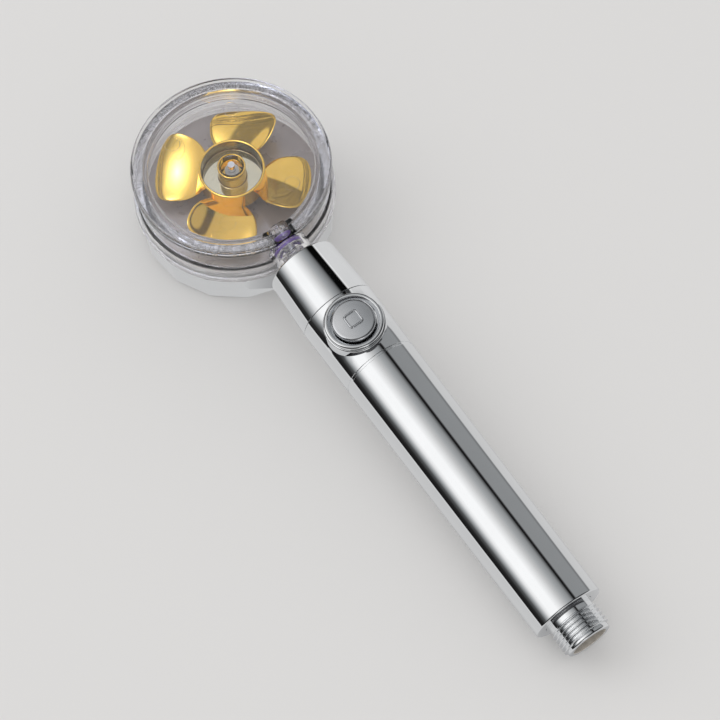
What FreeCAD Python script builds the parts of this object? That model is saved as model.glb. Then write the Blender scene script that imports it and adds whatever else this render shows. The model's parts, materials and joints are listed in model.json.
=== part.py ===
import FreeCAD, Part
import math
import os

# Handheld shower head with a spinning fan, lying face down.
# It is drawn along its handle and laid down at the end. In the drawing frame X runs
# along the handle from the neck nut's joint towards the hose, Z points out of the back
# of the head, and the handle's axis is y = 0, z = 0. The head's axis is parallel to Z.

V = FreeCAD.Vector

# ---- fits ----
face_gap = 0.3            # between faces of two bodies that pass each other
running_fit = 0.05        # radial, a shaft in its bush or bore
slide_fit = 0.08          # radial, a seal or plug in its bore

# ---- head ----
cap_r = 42.1              # back of the head, the main size across it
neck_reach = 36.3         # cap's edge to the neck nut's joint
cap_top = 9.7             # back of the head above the handle's axis
cap_rim_t = 4.0           # thickness of the cap's rim
cap_plate_t = 2.8
cap_edge = 1.3            # rounding of the cap's edges
cap_skirt_t = 1.9
cap_skirt_depth = 4.4
shell_in = 0.9            # chamber wall inside the cap's edge
shell_t = 4.2             # thickness of the clear chamber wall
band_out = 0.3            # thicker band low on the wall, past the cap's edge
band_top = -4.5
bead_out = 1.0            # bead at the band's foot, past the cap's edge
bead_h = 2.8
bead_groove = 0.5
shell_foot = -15.6        # underside of the bead
skirt_in = 3.6            # thread that carries the face ring, inside the cap's edge
skirt_t = 3.5
jet_plate_t = 2.0
jet_plate_top = -11.5
jet_hole_r = 0.9
jet_rings = ((6.4, 12), (9.6, 20))   # radius and count of each ring of holes under the hub
face_bottom = -32.5       # lowest face of the head
ring_sides = 16
ring_in = 0.1             # the ring's flats inside the cap's edge, at its top
ring_draft = 0.6          # how much the flats close in towards its foot
ring_turn = -4.6          # degrees, where the ring stops on its thread
ring_lip_t = 1.6
ring_lip_w = 2.6
spray_plate_t = 0.8
spray_hole_r = 0.5
spray_ring_count = 6
spray_edge = 6.1          # outermost holes to the plate's edge
spray_holes_per_ring = 6
gasket_t = 1.5

# ---- fan and its pin ----
pin_r = 1.5
hub_r = 14.0
hub_wall = 1.2
hub_top = 4.3
hub_foot = -5.7
hub_floor = -3.5          # underside of the hub's web
hub_web_t = 1.2
tube_r = 5.95             # tube around the cap's boss
tube_wall = 0.8
tube_top = 6.3
bush_r = 3.0
bush_top = 0.3
bush_foot = -6.0
blade_count = 4
blade_room = 3.6          # between a blade's tip and the chamber wall
blade_t = 1.2
blade_half_w = 16.5       # half width of a blade at its widest
blade_wide_in = 9.9       # widest place to the blade's tip
blade_level = -3.0        # height of a blade's middle line
blade_slope = 0.25        # fall across the blade
blade_curl = 0.010        # upward curl, per mm
blade_turn = 46.8         # degrees, first blade from +X
boss_wall = 3.3           # cap's boss around the pin

# ---- neck, swivel and inlet nozzle ----
neck_r = 8.6
neck_bore_r = 6.6         # around the inlet nozzle
neck_collar_wall = 1.0    # wall of the collar that passes under the cap
neck_waterway_r = 5.2     # past the nozzle
neck_tail_r = 8.4         # tail that turns in the valve body
neck_tail_x = -3.5
clip_r = 11.6
clip_x = -18.0
clip_t = 2.5
clip_groove = 1.2
clip_mouth = 60.0         # degrees left out of the clip
nozzle_head_r = 6.5
nozzle_reach = 2.7        # how far the nozzle stands into the chamber
nozzle_jet_r = 2.6
nozzle_tail_x = -32.0
nozzle_ribs = 8
nozzle_seal_x = (-39.5, -35.5)
nozzle_cord_d = 1.3       # thickness of the nozzle's sealing rings
cord_d = 1.8              # thickness of every other sealing ring
neck_seal_x = -7.0

# ---- neck nut, valve body and grip ----
nut_x = -26.2
nut_front_r = 15.2
nut_shoulder_t = 6.0
nut_socket_r = 13.0
joint_r = 16.5            # outside at the nut's joint
body_len = 30.0           # valve body, joint to joint
body_rear_r = 16.1
valve_tail_x = -13.5      # end of the valve body inside the nut
body_waterway_r = 4.5
body_port_r = 2.2         # where the waterway crosses the spool
body_port_wall = 1.6      # between the spool's bore and the waterway
nipple_r = 13.0
nipple_len = 11.0
joint_ring_t = 1.0
joint_ring_drop = 0.25
grip_len = 123.9
grip_end_r = 14.9
grip_edge = 0.8
grip_bore_r = 12.6
grip_lip_t = 3.0

# ---- push valve, square to the handle ----
button_x = 14.5
button_roll = 5.5         # degrees about the handle, from the head's back
button_r = 9.0
button_top = 22.2
button_foot = 17.2
button_edge = 1.6
button_travel = 5.0
button_gap = 0.4
boss_top = 18.2
bezel_wall = 2.7
bezel_step = 0.5          # the boss past the bezel
bezel_top = 20.6
spool_r = 4.8
spool_waist_r = 2.4
spool_waist = 5.4
spool_seal_z = (-5.6, 4.6, 9.8)
spool_top = 16.2
spool_foot = -14.6
button_stem_r = 2.2
rear_button_r = 6.2
rear_button_foot = -18.4
rear_well_roof = -14.2
rear_boss_r = 8.8
rear_boss_foot = -18.2
mark_half = 3.4           # raised square on the button, half its side
mark_line = 1.1
mark_h = 0.5

# ---- filter and hose end ----
filter_r = 9.4
filter_bore_r = 3.6
filter_lead = 5.5         # end of the grip's nipple to the cartridge
filter_room = 28.4        # end of the cartridge to the end of the grip
filter_cap_t = 2.5
outlet_r = 6.9            # filter's outlet stub
nipple_bore_r = 7.0
thread_r = 10.4775        # G 1/2 male thread
thread_pitch = 1.814
thread_depth = 1.162
relief_len = 3.3          # smooth neck between the grip and the thread
thread_len = 8.7
pilot_len = 1.3           # plain end past the thread
relief_r = 9.7
pilot_r = 9.5
inlet_r = 7.4
limiter_r = 7.0
limiter_depth = 4.9       # flow limiter inside the grip's end
limiter_t = 3.6
screen_t = 0.8
spigot_depth = 11.9       # spigot inside the grip's end
spigot_bore_r = 5.6

# ---- sizes that follow from those ----
head_reach = cap_r + neck_reach
shell_r = cap_r - shell_in
chamber_r = shell_r - shell_t
band_r = cap_r + band_out
bead_r = cap_r + bead_out
skirt_r = cap_r - skirt_in
ring_flat_top = cap_r - ring_in
ring_flat_foot = ring_flat_top - ring_draft
spray_ring_step = (skirt_r - spray_edge) / spray_ring_count
blade_tip_r = chamber_r - blade_room
blade_wide_at = blade_tip_r - blade_wide_in
cap_under = cap_top - cap_plate_t
shell_top = cap_top - cap_rim_t
skirt_foot = face_bottom + ring_lip_t + spray_plate_t + gasket_t
ledge = jet_plate_top - jet_plate_t
chamber_wall_x = chamber_r - head_reach
nozzle_inner_x = chamber_wall_x - nozzle_reach
collar_r = neck_bore_r + neck_collar_wall
bezel_bore_r = button_r + button_gap
bezel_r = bezel_bore_r + bezel_wall
boss_r = bezel_r + bezel_step
button_well_floor = button_foot - button_travel - 2 * face_gap
grip_x = body_len + joint_ring_t
grip_end_x = grip_x + grip_len
nipple_end_x = body_len + nipple_len
filter_x = nipple_end_x + filter_lead
filter_end_x = grip_end_x - filter_room
thread_start_x = grip_end_x + relief_len
thread_end_x = thread_start_x + thread_len
hose_end_x = thread_end_x + pilot_len
limiter_x = grip_end_x - limiter_depth
spigot_x = grip_end_x - spigot_depth
cord_r = cord_d / 2


# ---- shape helpers ----
def rounded_wire(points, to_3d):
    """Closed wire through (u, v) points. A third number on a point rounds its corner."""
    starts = []
    arcs = []
    count = len(points)
    for i, point in enumerate(points):
        here = V(point[0], point[1], 0)
        if len(point) < 3:
            starts.append((here, here))
            arcs.append(None)
            continue
        back = V(*points[i - 1][:2], 0) - here
        ahead = V(*points[(i + 1) % count][:2], 0) - here
        half = back.getAngle(ahead) / 2
        radius = point[2]
        reach = radius / math.tan(half)
        back.normalize()
        ahead.normalize()
        middle = back + ahead
        middle.normalize()
        centre = here + middle * (radius / math.sin(half))
        starts.append((here + back * reach, here + ahead * reach))
        arcs.append(centre - middle * radius)
    edges = []
    for i in range(count):
        enter, leave = starts[i]
        if arcs[i] is not None:
            edges.append(Part.Arc(to_3d(enter), to_3d(arcs[i]), to_3d(leave)).toShape())
        following = starts[(i + 1) % count][0]
        if leave.distanceToPoint(following) > 1e-6:
            edges.append(Part.LineSegment(to_3d(leave), to_3d(following)).toShape())
    return Part.Wire(edges)


def turned_x(points):
    """Solid turned about the handle's axis from (x, radius) points."""
    face = Part.Face(rounded_wire(points, lambda p: V(p.x, 0, p.y)))
    return face.revolve(V(0, 0, 0), V(1, 0, 0), 360)


def turned_z(points):
    """Solid turned about the Z axis from (radius, z) points."""
    face = Part.Face(rounded_wire(points, lambda p: V(p.x, 0, p.y)))
    return face.revolve(V(0, 0, 0), V(0, 0, 1), 360)


def at_head(shape):
    """Moves a shape drawn about the Z axis to the head's axis."""
    return shape.translated(V(-head_reach, 0, 0))


def at_button(shape):
    """Moves a shape drawn about the Z axis to the push valve's axis."""
    placed = shape.copy()
    placed.rotate(V(0, 0, 0), V(1, 0, 0), button_roll)
    return placed.translated(V(button_x, 0, 0))


def tube_x(x0, x1, outer, inner):
    return turned_x([(x0, inner), (x1, inner), (x1, outer), (x0, outer)])


def rod_x(x0, x1, radius):
    return Part.makeCylinder(radius, x1 - x0, V(x0, 0, 0), V(1, 0, 0))


def rod_z(z0, z1, radius):
    return Part.makeCylinder(radius, z1 - z0, V(0, 0, z0), V(0, 0, 1))


def ring_z(z0, z1, outer, inner):
    return turned_z([(inner, z0), (outer, z0), (outer, z1), (inner, z1)])


def seal_x(x, outer, thickness=cord_d):
    """Sealing ring about the handle's axis, its outside at the given radius."""
    return Part.makeTorus(outer - thickness / 2, thickness / 2, V(x, 0, 0), V(1, 0, 0))


def groove_x(x, outer, thickness=cord_d):
    """Room for such a ring, cut from the part that carries it."""
    width = thickness * 1.3
    return tube_x(x - width / 2, x + width / 2, outer + 1.0, outer - thickness)


def around(shape, count, centre=V(0, 0, 0), axis=V(0, 0, 1)):
    """Copies of a shape, evenly spaced about an axis."""
    copies = []
    for i in range(count):
        one = shape.copy()
        one.rotate(centre, axis, 360.0 * i / count)
        copies.append(one)
    return copies


def tidy(shape):
    """The shape without the seams left by cuts, where they can be taken out cleanly."""
    clean = shape.removeSplitter()
    return clean if clean.isValid() else shape


# ---- head pieces ----
def back_cap():
    plate = turned_z([
        (0, cap_under), (cap_r - 4.7, cap_under), (cap_r - 4.7, shell_top), (cap_r, shell_top, 0.5),
        (cap_r, cap_top, cap_edge), (0, cap_top)])
    plug_r = chamber_r - slide_fit
    skirt = ring_z(shell_top - cap_skirt_depth, cap_under, plug_r, plug_r - cap_skirt_t)
    groove_z = shell_top - cap_skirt_depth / 2
    seal_room = Part.makeTorus(chamber_r - cord_r, cord_r, V(0, 0, groove_z), V(0, 0, 1))
    boss = rod_z(bush_top + face_gap, cap_under, pin_r + boss_wall)
    cap = plate.fuse(skirt).fuse(boss).cut(seal_room)
    cap = cap.cut(rod_z(hub_foot, cap_under + 1.0, pin_r))
    return tidy(at_head(cap).cut(collar_room()))


def cap_seal():
    groove_z = shell_top - cap_skirt_depth / 2
    ring = Part.makeTorus(chamber_r - cord_r, cord_r, V(0, 0, groove_z), V(0, 0, 1))
    return at_head(ring).cut(collar_room())


def collar_room():
    """Room in the cap for the inlet's collar and the nozzle's head."""
    return rod_x(nozzle_inner_x - face_gap, 0, collar_r + slide_fit)


def head_housing():
    groove_z = shell_foot + bead_h
    shell = turned_z([
        (chamber_r, ledge), (chamber_r, shell_top), (shell_r, shell_top, 0.4), (shell_r, band_top),
        (band_r, band_top - 0.8), (band_r, groove_z + bead_groove),
        (band_r - bead_groove, groove_z + bead_groove), (band_r - bead_groove, groove_z),
        (bead_r, groove_z, 0.6), (bead_r, shell_foot, 0.9), (skirt_r, shell_foot),
        (skirt_r, skirt_foot), (skirt_r - skirt_t, skirt_foot), (skirt_r - skirt_t, ledge)])
    neck = turned_x([
        (chamber_wall_x + 1.0, 0), (neck_tail_x, 0), (neck_tail_x, neck_tail_r, 0.8),
        (clip_x + clip_t + 1.0, neck_tail_r), (clip_x + clip_t + 1.0, neck_r),
        (chamber_wall_x + 1.0, neck_r)])
    neck = neck.translated(V(head_reach, 0, 0))
    neck = neck.cut(rod_z(shell_top, 2 * neck_r, cap_r + face_gap))
    collar = rod_x(chamber_wall_x, nut_x, collar_r).translated(V(head_reach, 0, 0))
    neck = neck.fuse(collar).cut(rod_z(-2 * neck_r, 2 * neck_r, chamber_r))
    body = at_head(shell.fuse(neck))
    body = body.cut(rod_x(chamber_wall_x - 2.0, nozzle_tail_x + 0.5, neck_bore_r))
    body = body.cut(rod_x(nozzle_tail_x, neck_tail_x + 1.0, neck_waterway_r))
    body = body.cut(tube_x(clip_x, clip_x + clip_t, neck_r + 2.0, neck_r - clip_groove))
    return tidy(body.cut(groove_x(neck_seal_x, neck_tail_r + face_gap - slide_fit)))


def inlet_nozzle():
    inner_x = nozzle_inner_x
    stem_r = neck_bore_r - slide_fit
    head = rod_x(inner_x, chamber_wall_x + 2.0, nozzle_head_r - 1.0)
    rib_box = Part.makeBox(chamber_wall_x + 2.0 - inner_x, 1.4, nozzle_head_r, V(inner_x, -0.7, 0))
    for rib in around(rib_box, nozzle_ribs, V(0, 0, 0), V(1, 0, 0)):
        head = head.fuse(rib)
    head = head.common(rod_x(inner_x, chamber_wall_x + 2.0, nozzle_head_r))
    head = head.common(at_head(rod_z(-2 * nozzle_head_r, 2 * nozzle_head_r, chamber_r)))
    nozzle = head.fuse(rod_x(inner_x + 3.0, nozzle_tail_x, stem_r - 0.3))
    for x in nozzle_seal_x:
        nozzle = nozzle.cut(groove_x(x, neck_bore_r, nozzle_cord_d))
    return tidy(nozzle.cut(rod_x(inner_x - 1.0, nozzle_tail_x + 1.0, nozzle_jet_r)))


def nozzle_seals():
    return Part.makeCompound([seal_x(x, neck_bore_r, nozzle_cord_d) for x in nozzle_seal_x])


def neck_clip():
    """Spring ring in the neck's groove, open on one side so that it snaps on."""
    ring = tube_x(clip_x, clip_x + clip_t, clip_r, neck_r - clip_groove)
    mouth = Part.makeBox(clip_t, 2 * clip_r, clip_r, V(clip_x, 0, 0))
    wedge = mouth.copy()
    wedge.rotate(V(0, 0, 0), V(1, 0, 0), clip_mouth - 90.0)
    return tidy(ring.cut(mouth.common(wedge)))


def jet_plate():
    plate = rod_z(ledge, jet_plate_top, chamber_r - slide_fit)
    boss = rod_z(ledge, bush_foot - face_gap - 0.6, pin_r + 2.5)
    plate = plate.fuse(boss).cut(rod_z(ledge + 0.8, 0, pin_r))
    holes = []
    for radius, count in jet_rings:
        hole = rod_z(ledge - 1, jet_plate_top + 1, jet_hole_r).translated(V(radius, 0, 0))
        holes += around(hole, count)
    return at_head(tidy(plate.cut(holes)))


def axle_pin():
    return at_head(rod_z(ledge + 0.8, cap_under + 1.0, pin_r))


def thrust_washer():
    top = bush_foot - face_gap
    return at_head(ring_z(top - 0.6, top, bush_r + 0.6, pin_r + running_fit))


def spray_gasket():
    return at_head(ring_z(skirt_foot - gasket_t, skirt_foot, skirt_r - 0.3, skirt_r - skirt_t))


def spray_plate():
    z0 = face_bottom + ring_lip_t
    plate = rod_z(z0, z0 + spray_plate_t, skirt_r - 0.3)
    holes = [rod_z(z0 - 1, z0 + 2, spray_hole_r)]
    for ring in range(1, spray_ring_count + 1):
        hole = rod_z(z0 - 1, z0 + 2, spray_hole_r).translated(V(ring * spray_ring_step, 0, 0))
        holes += around(hole, ring * spray_holes_per_ring)
    return at_head(plate.cut(Part.makeCompound(holes)))


def face_ring():
    """Ring with flat sides that screws onto the chamber's skirt and holds the spray plate."""
    wires = []
    for z, flat in ((face_bottom, ring_flat_foot), (shell_foot - face_gap, ring_flat_top)):
        corner_r = flat / math.cos(math.pi / ring_sides)
        corners = []
        for i in range(ring_sides):
            turn = math.radians(ring_turn + 360.0 * i / ring_sides)
            corners.append(V(corner_r * math.cos(turn), corner_r * math.sin(turn), z))
        wires.append(Part.makePolygon(corners + corners[:1]))
    ring = Part.makeLoft(wires, True, True)
    ring = ring.cut(rod_z(face_bottom + ring_lip_t, 0, skirt_r))
    mouth_r = skirt_r - ring_lip_w
    mouth = turned_z([
        (0, face_bottom - 1), (mouth_r + 1.6, face_bottom - 1), (mouth_r + 1.0, face_bottom),
        (mouth_r, face_bottom + 1.0), (mouth_r, face_bottom + ring_lip_t + 1),
        (0, face_bottom + ring_lip_t + 1)])
    return at_head(tidy(ring.cut(mouth)))


def neck_seal():
    return seal_x(neck_seal_x, neck_tail_r + face_gap - slide_fit)


# ---- fan ----
def blade_height(side):
    """Height of a blade's middle surface, at a distance to the side of its centre line."""
    return blade_level - blade_slope * side + blade_curl * side * side


def blade():
    """Curled paddle along +X: a thick curved strip, trimmed to a rounded outline."""
    steps = 8
    wires = []
    for x in (hub_r - hub_wall, blade_tip_r + 1.0):
        upper = []
        lower = []
        for i in range(steps + 1):
            side = -blade_half_w + 2 * blade_half_w * i / steps
            upper.append(V(x, side, blade_height(side) + blade_t / 2))
            lower.append(V(x, side, blade_height(side) - blade_t / 2))
        top = Part.BSplineCurve()
        top.interpolate(upper)
        bottom = Part.BSplineCurve()
        bottom.interpolate(lower)
        end = Part.LineSegment(upper[-1], lower[-1])
        start = Part.LineSegment(lower[0], upper[0])
        wires.append(Part.Wire([edge.toShape() for edge in (top, end, bottom, start)]))
    strip = Part.makeLoft(wires, True, True)
    root = hub_r - hub_wall
    widest = blade_half_w - 0.3
    outline = Part.BSplineCurve()
    outline.interpolate([
        V(root - 2.0, 0, 0), V(root, -0.62 * widest, 0), V(blade_wide_at - 3.0, -0.97 * widest, 0),
        V(blade_wide_at + 4.5, -0.90 * widest, 0), V(blade_tip_r, 0, 0),
        V(blade_wide_at + 4.5, 0.90 * widest, 0), V(blade_wide_at - 3.0, 0.97 * widest, 0),
        V(root, 0.62 * widest, 0)], PeriodicFlag=True)
    prism = Part.Face(Part.Wire([outline.toShape()])).extrude(V(0, 0, 40)).translated(V(0, 0, -20))
    return strip.common(prism)


def fan_rotor():
    """Cup-shaped hub with a centre tube and curled blades, moulded in one."""
    hub = turned_z([
        (hub_r - hub_wall, hub_foot), (hub_r, hub_foot, 0.4), (hub_r, hub_top, 0.55),
        (hub_r - hub_wall, hub_top, 0.55), (hub_r - hub_wall, hub_floor + hub_web_t),
        (tube_r, hub_floor + hub_web_t), (tube_r, tube_top, 0.35), (tube_r - tube_wall, tube_top, 0.35),
        (tube_r - tube_wall, hub_floor + hub_web_t), (bush_r, hub_floor + hub_web_t),
        (bush_r, hub_floor), (hub_r - hub_wall, hub_floor)])
    outside = rod_z(-30, 30, 60).cut(rod_z(-30, 30, hub_r - hub_wall / 2))
    rotor = hub
    for one in around(blade().common(outside), blade_count):
        one.rotate(V(0, 0, 0), V(0, 0, 1), blade_turn)
        rotor = rotor.fuse(one)
    return at_head(rotor)


def fan_bush():
    bush = turned_z([
        (pin_r + running_fit, bush_foot), (bush_r + 0.6, bush_foot), (bush_r + 0.6, hub_floor),
        (bush_r, hub_floor), (bush_r, bush_top), (pin_r + running_fit, bush_top)])
    return at_head(bush)


# ---- handle pieces ----
def neck_nut():
    shoulder_x = nut_x + nut_shoulder_t
    room_r = clip_r + 0.4
    return turned_x([
        (nut_x, neck_r + face_gap), (shoulder_x, neck_r + face_gap), (shoulder_x, room_r),
        (valve_tail_x, room_r), (valve_tail_x, nut_socket_r), (-0.1, nut_socket_r),
        (-0.1, joint_r, 0.15), (nut_x, nut_front_r, 1.0)])


def swivel_washer():
    x = nut_x + nut_shoulder_t
    return tube_x(x, clip_x - face_gap, clip_r, neck_r + face_gap)


def thrust_ring():
    x = clip_x + clip_t + face_gap
    return tube_x(x, valve_tail_x, clip_r, neck_r + face_gap)


def valve_body():
    """Outer shell, both nipples and the cross bore, moulded in one."""
    body = turned_x([
        (valve_tail_x, 0), (valve_tail_x, nut_socket_r), (0, nut_socket_r), (0, joint_r, 0.15),
        (body_len, body_rear_r, 0.15), (body_len, nipple_r), (nipple_end_x, nipple_r), (nipple_end_x, 0)])
    boss = turned_z([(0, 0), (boss_r, 0), (boss_r, boss_top, 0.6), (0, boss_top)])
    rear_boss = turned_z([(0, rear_boss_foot), (rear_boss_r, rear_boss_foot, 0.8), (rear_boss_r, 0), (0, 0)])
    body = body.fuse(at_button(boss)).fuse(at_button(rear_boss))
    body = body.cut(rod_x(valve_tail_x - 1, neck_tail_x + face_gap, neck_tail_r + face_gap))
    port_half = spool_r + running_fit + body_port_wall
    body = body.cut(rod_x(neck_tail_x, button_x - port_half, body_waterway_r))
    body = body.cut(rod_x(neck_tail_x, body_len, body_port_r))
    body = body.cut(rod_x(button_x + port_half, body_len, body_waterway_r))
    body = body.cut(rod_x(body_len - 5.0, nipple_end_x + 1, nipple_bore_r))
    body = body.cut(at_button(rod_z(-30, 30, spool_r + running_fit)))
    body = body.cut(at_button(rod_z(button_well_floor, 30, bezel_bore_r)))
    body = body.cut(at_button(rod_z(-30, rear_well_roof, rear_button_r + button_gap)))
    return tidy(body.cut(groove_x(nipple_end_x - 2.5, nipple_r)))


def button_bezel():
    """Bright ring around the button, seated on the valve body's boss."""
    ring = turned_z([
        (bezel_bore_r, boss_top), (bezel_r, boss_top), (bezel_r, bezel_top, 0.9),
        (bezel_r - 1.5, bezel_top, 0.5), (bezel_bore_r, bezel_top - 1.3, 0.3)])
    return at_button(ring)


def valve_spool():
    waist = spool_waist / 2
    spool = turned_z([
        (0, spool_foot), (spool_r, spool_foot, 0.3), (spool_r, -waist - 0.8), (spool_waist_r, -waist),
        (spool_waist_r, waist), (spool_r, waist + 0.8), (spool_r, spool_top, 0.3), (0, spool_top)])
    for z in spool_seal_z:
        spool = spool.cut(ring_z(z - cord_d * 0.65, z + cord_d * 0.65, spool_r + 1.0, spool_r - cord_d))
    spool = spool.cut(rod_z(spool_top - 5.0, spool_top + 1, button_stem_r))
    return at_button(tidy(spool.cut(rod_z(spool_foot - 1, spool_foot + 5.0, button_stem_r))))


def spool_seals():
    rings = []
    for z in spool_seal_z:
        rings.append(Part.makeTorus(spool_r - cord_r, cord_r, V(0, 0, z), V(0, 0, 1)))
    return at_button(Part.makeCompound(rings))


def stop_button():
    """Slightly domed button. A raised square outline stands for stop."""
    dome_r = 60.0
    crown = button_top - dome_r
    blank = turned_z([
        (0, button_foot), (button_r, button_foot), (button_r, button_top + 0.6, button_edge),
        (0, button_top + 0.6)])
    blank = blank.common(Part.makeSphere(dome_r, V(0, 0, crown)))
    outer = square_prism(mark_half)
    mark = outer.cut(square_prism(mark_half - mark_line))
    mark = mark.common(Part.makeSphere(dome_r + mark_h, V(0, 0, crown)))
    button = blank.fuse(mark)
    stem = rod_z(spool_top - 4.6, button_foot, button_stem_r)
    return at_button(tidy(button.fuse(stem)))


def square_prism(half):
    """Upright square through the button's top, its corners rounded."""
    corner = half * 0.25
    wire = rounded_wire(
        [(-half, -half, corner), (half, -half, corner), (half, half, corner), (-half, half, corner)],
        lambda p: V(p.x, p.y, button_top - 1.2))
    return Part.Face(wire).extrude(V(0, 0, 3))


def reset_button():
    """Rear end of the push valve. It comes out when the stop button goes in."""
    disc = turned_z([
        (0, rear_button_foot), (rear_button_r, rear_button_foot, 0.6), (rear_button_r, spool_foot),
        (0, spool_foot)])
    return at_button(disc.fuse(rod_z(spool_foot, spool_foot + 4.6, button_stem_r)))


def joint_ring():
    return tube_x(body_len, grip_x, body_rear_r - joint_ring_drop, nipple_r)


def grip_seal():
    return seal_x(nipple_end_x - 2.5, nipple_r)


def grip():
    lip_x = grip_end_x - grip_lip_t
    return turned_x([
        (grip_x, nipple_r), (nipple_end_x + 0.4, nipple_r), (nipple_end_x + 0.4, grip_bore_r),
        (lip_x, grip_bore_r), (lip_x, thread_r + slide_fit), (grip_end_x, thread_r + slide_fit),
        (grip_end_x, grip_end_r, grip_edge), (grip_x, body_rear_r, 0.15)])


def filter_front_cap():
    """Plate on the cartridge's front end, with the stub that leads clean water on."""
    stub_x = nipple_end_x - 6.0
    cap = turned_x([
        (stub_x, filter_bore_r), (filter_x, filter_bore_r), (filter_x, filter_r + 1.0, 0.4),
        (filter_x - filter_cap_t, filter_r + 1.0, 0.4), (filter_x - filter_cap_t, outlet_r),
        (stub_x, outlet_r, 0.5)])
    return tidy(cap.cut(groove_x(stub_x + 2.4, nipple_bore_r)))


def filter_seal():
    return seal_x(nipple_end_x - 3.6, nipple_bore_r)


def filter_cartridge():
    return tube_x(filter_x, filter_end_x, filter_r, filter_bore_r)


def filter_rear_cap():
    """Closed plate with three feet that centre the cartridge in the grip."""
    x = filter_end_x
    cap = rod_x(x, x + filter_cap_t, filter_r + 1.0)
    foot = Part.makeBox(filter_cap_t, 2.4, grip_bore_r, V(x, -1.2, 0))
    for one in around(foot, 3, V(0, 0, 0), V(1, 0, 0)):
        cap = cap.fuse(one)
    return tidy(cap.common(rod_x(x, x + filter_cap_t, grip_bore_r - slide_fit)))


def hose_spigot():
    """Hose thread, held in the grip by its collar."""
    lip_x = grip_end_x - grip_lip_t
    flange_r = grip_bore_r - slide_fit
    blank = turned_x([
        (spigot_x, spigot_bore_r), (limiter_x, spigot_bore_r), (limiter_x, limiter_r),
        (limiter_x + limiter_t + screen_t, limiter_r), (limiter_x + limiter_t + screen_t, inlet_r),
        (hose_end_x, inlet_r, 0.5), (hose_end_x, pilot_r, 0.8), (thread_end_x, pilot_r),
        (thread_end_x - 0.4, thread_r), (thread_start_x, thread_r), (thread_start_x - 0.6, relief_r),
        (grip_end_x, relief_r), (grip_end_x, thread_r), (lip_x, thread_r), (lip_x, flange_r),
        (spigot_x, flange_r)])
    return blank.cut(thread_groove()).cut(groove_x(lip_x - 4.0, grip_bore_r))


def thread_groove():
    """Helical cutter for the hose thread, with the 55 degree sides of a pipe thread."""
    start_x = thread_start_x - 0.4
    length = thread_end_x - start_x + 0.8
    root_r = thread_r - thread_depth
    over = 0.35
    root_half = 0.12
    mouth_half = root_half + (thread_depth + over) * math.tan(math.radians(27.5))
    helix = Part.makeHelix(thread_pitch, length, thread_r)
    section = Part.makePolygon([
        V(root_r, 0, -root_half), V(thread_r + over, 0, -mouth_half), V(thread_r + over, 0, mouth_half),
        V(root_r, 0, root_half), V(root_r, 0, -root_half)])
    cutter = Part.Wire(helix.Edges).makePipeShell([section], True, True)
    cutter.rotate(V(0, 0, 0), V(0, 1, 0), 90)
    return cutter.translated(V(start_x, 0, 0))


def spigot_seal():
    return seal_x(grip_end_x - grip_lip_t - 4.0, grip_bore_r)


def flow_limiter():
    disc = rod_x(limiter_x, limiter_x + limiter_t, limiter_r - slide_fit)
    centre = rod_x(limiter_x - 1, limiter_x + limiter_t + 1, 1.6)
    hole = rod_x(limiter_x - 1, limiter_x + limiter_t + 1, 0.8).translated(V(0, 4.2, 0))
    return tidy(disc.cut(centre).cut(around(hole, 8, V(0, 0, 0), V(1, 0, 0))))


def inlet_screen():
    """Mesh disc in front of the flow limiter, as a disc with rings of small holes."""
    x = limiter_x + limiter_t
    disc = rod_x(x, x + screen_t, limiter_r - slide_fit)
    holes = [rod_x(x - 1, x + 2, 0.5)]
    for ring in range(1, 4):
        hole = rod_x(x - 1, x + 2, 0.5).translated(V(0, ring * 1.8, 0))
        holes += around(hole, 6 * ring, V(0, 0, 0), V(1, 0, 0))
    return disc.cut(Part.makeCompound(holes))


# ---- laying the shower head down ----
def lying_tilt():
    """Turn about Y, in degrees, that rests the face ring and the grip's end on one floor."""
    near_x = ring_flat_foot - head_reach
    rise = -grip_end_r - face_bottom
    return math.degrees(math.atan2(rise, grip_end_x - near_x))


builders = {
    "back_cap": back_cap, "cap_seal": cap_seal, "head_housing": head_housing, "inlet_nozzle": inlet_nozzle,
    "nozzle_seals": nozzle_seals, "neck_clip": neck_clip, "neck_seal": neck_seal, "jet_plate": jet_plate,
    "axle_pin": axle_pin, "thrust_washer": thrust_washer, "spray_gasket": spray_gasket,
    "spray_plate": spray_plate, "face_ring": face_ring, "fan_rotor": fan_rotor, "fan_bush": fan_bush,
    "neck_nut": neck_nut, "swivel_washer": swivel_washer, "thrust_ring": thrust_ring,
    "valve_body": valve_body, "button_bezel": button_bezel, "valve_spool": valve_spool,
    "spool_seals": spool_seals, "stop_button": stop_button, "reset_button": reset_button,
    "joint_ring": joint_ring, "grip_seal": grip_seal, "grip": grip, "filter_front_cap": filter_front_cap,
    "filter_seal": filter_seal, "filter_cartridge": filter_cartridge, "filter_rear_cap": filter_rear_cap,
    "hose_spigot": hose_spigot, "spigot_seal": spigot_seal, "flow_limiter": flow_limiter,
    "inlet_screen": inlet_screen}

os.makedirs("parts", exist_ok=True)
nodes = {}
for name, build in builders.items():
    shape = build()
    shape.rotate(V(0, 0, 0), V(0, 1, 0), lying_tilt())
    nodes[name] = shape

extent = Part.makeCompound(list(nodes.values())).optimalBoundingBox(False, False)
to_origin = V(-extent.Center.x, -extent.Center.y, -extent.ZMin)
for name, shape in nodes.items():
    nodes[name] = shape.translated(to_origin)
    nodes[name].exportStep("parts/" + name + ".step")
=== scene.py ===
"""Handheld shower head: clear chamber, gold fan, chrome handle with a push valve."""
import json
import math

import bmesh
import bpy
from mathutils import Matrix, Vector


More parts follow.
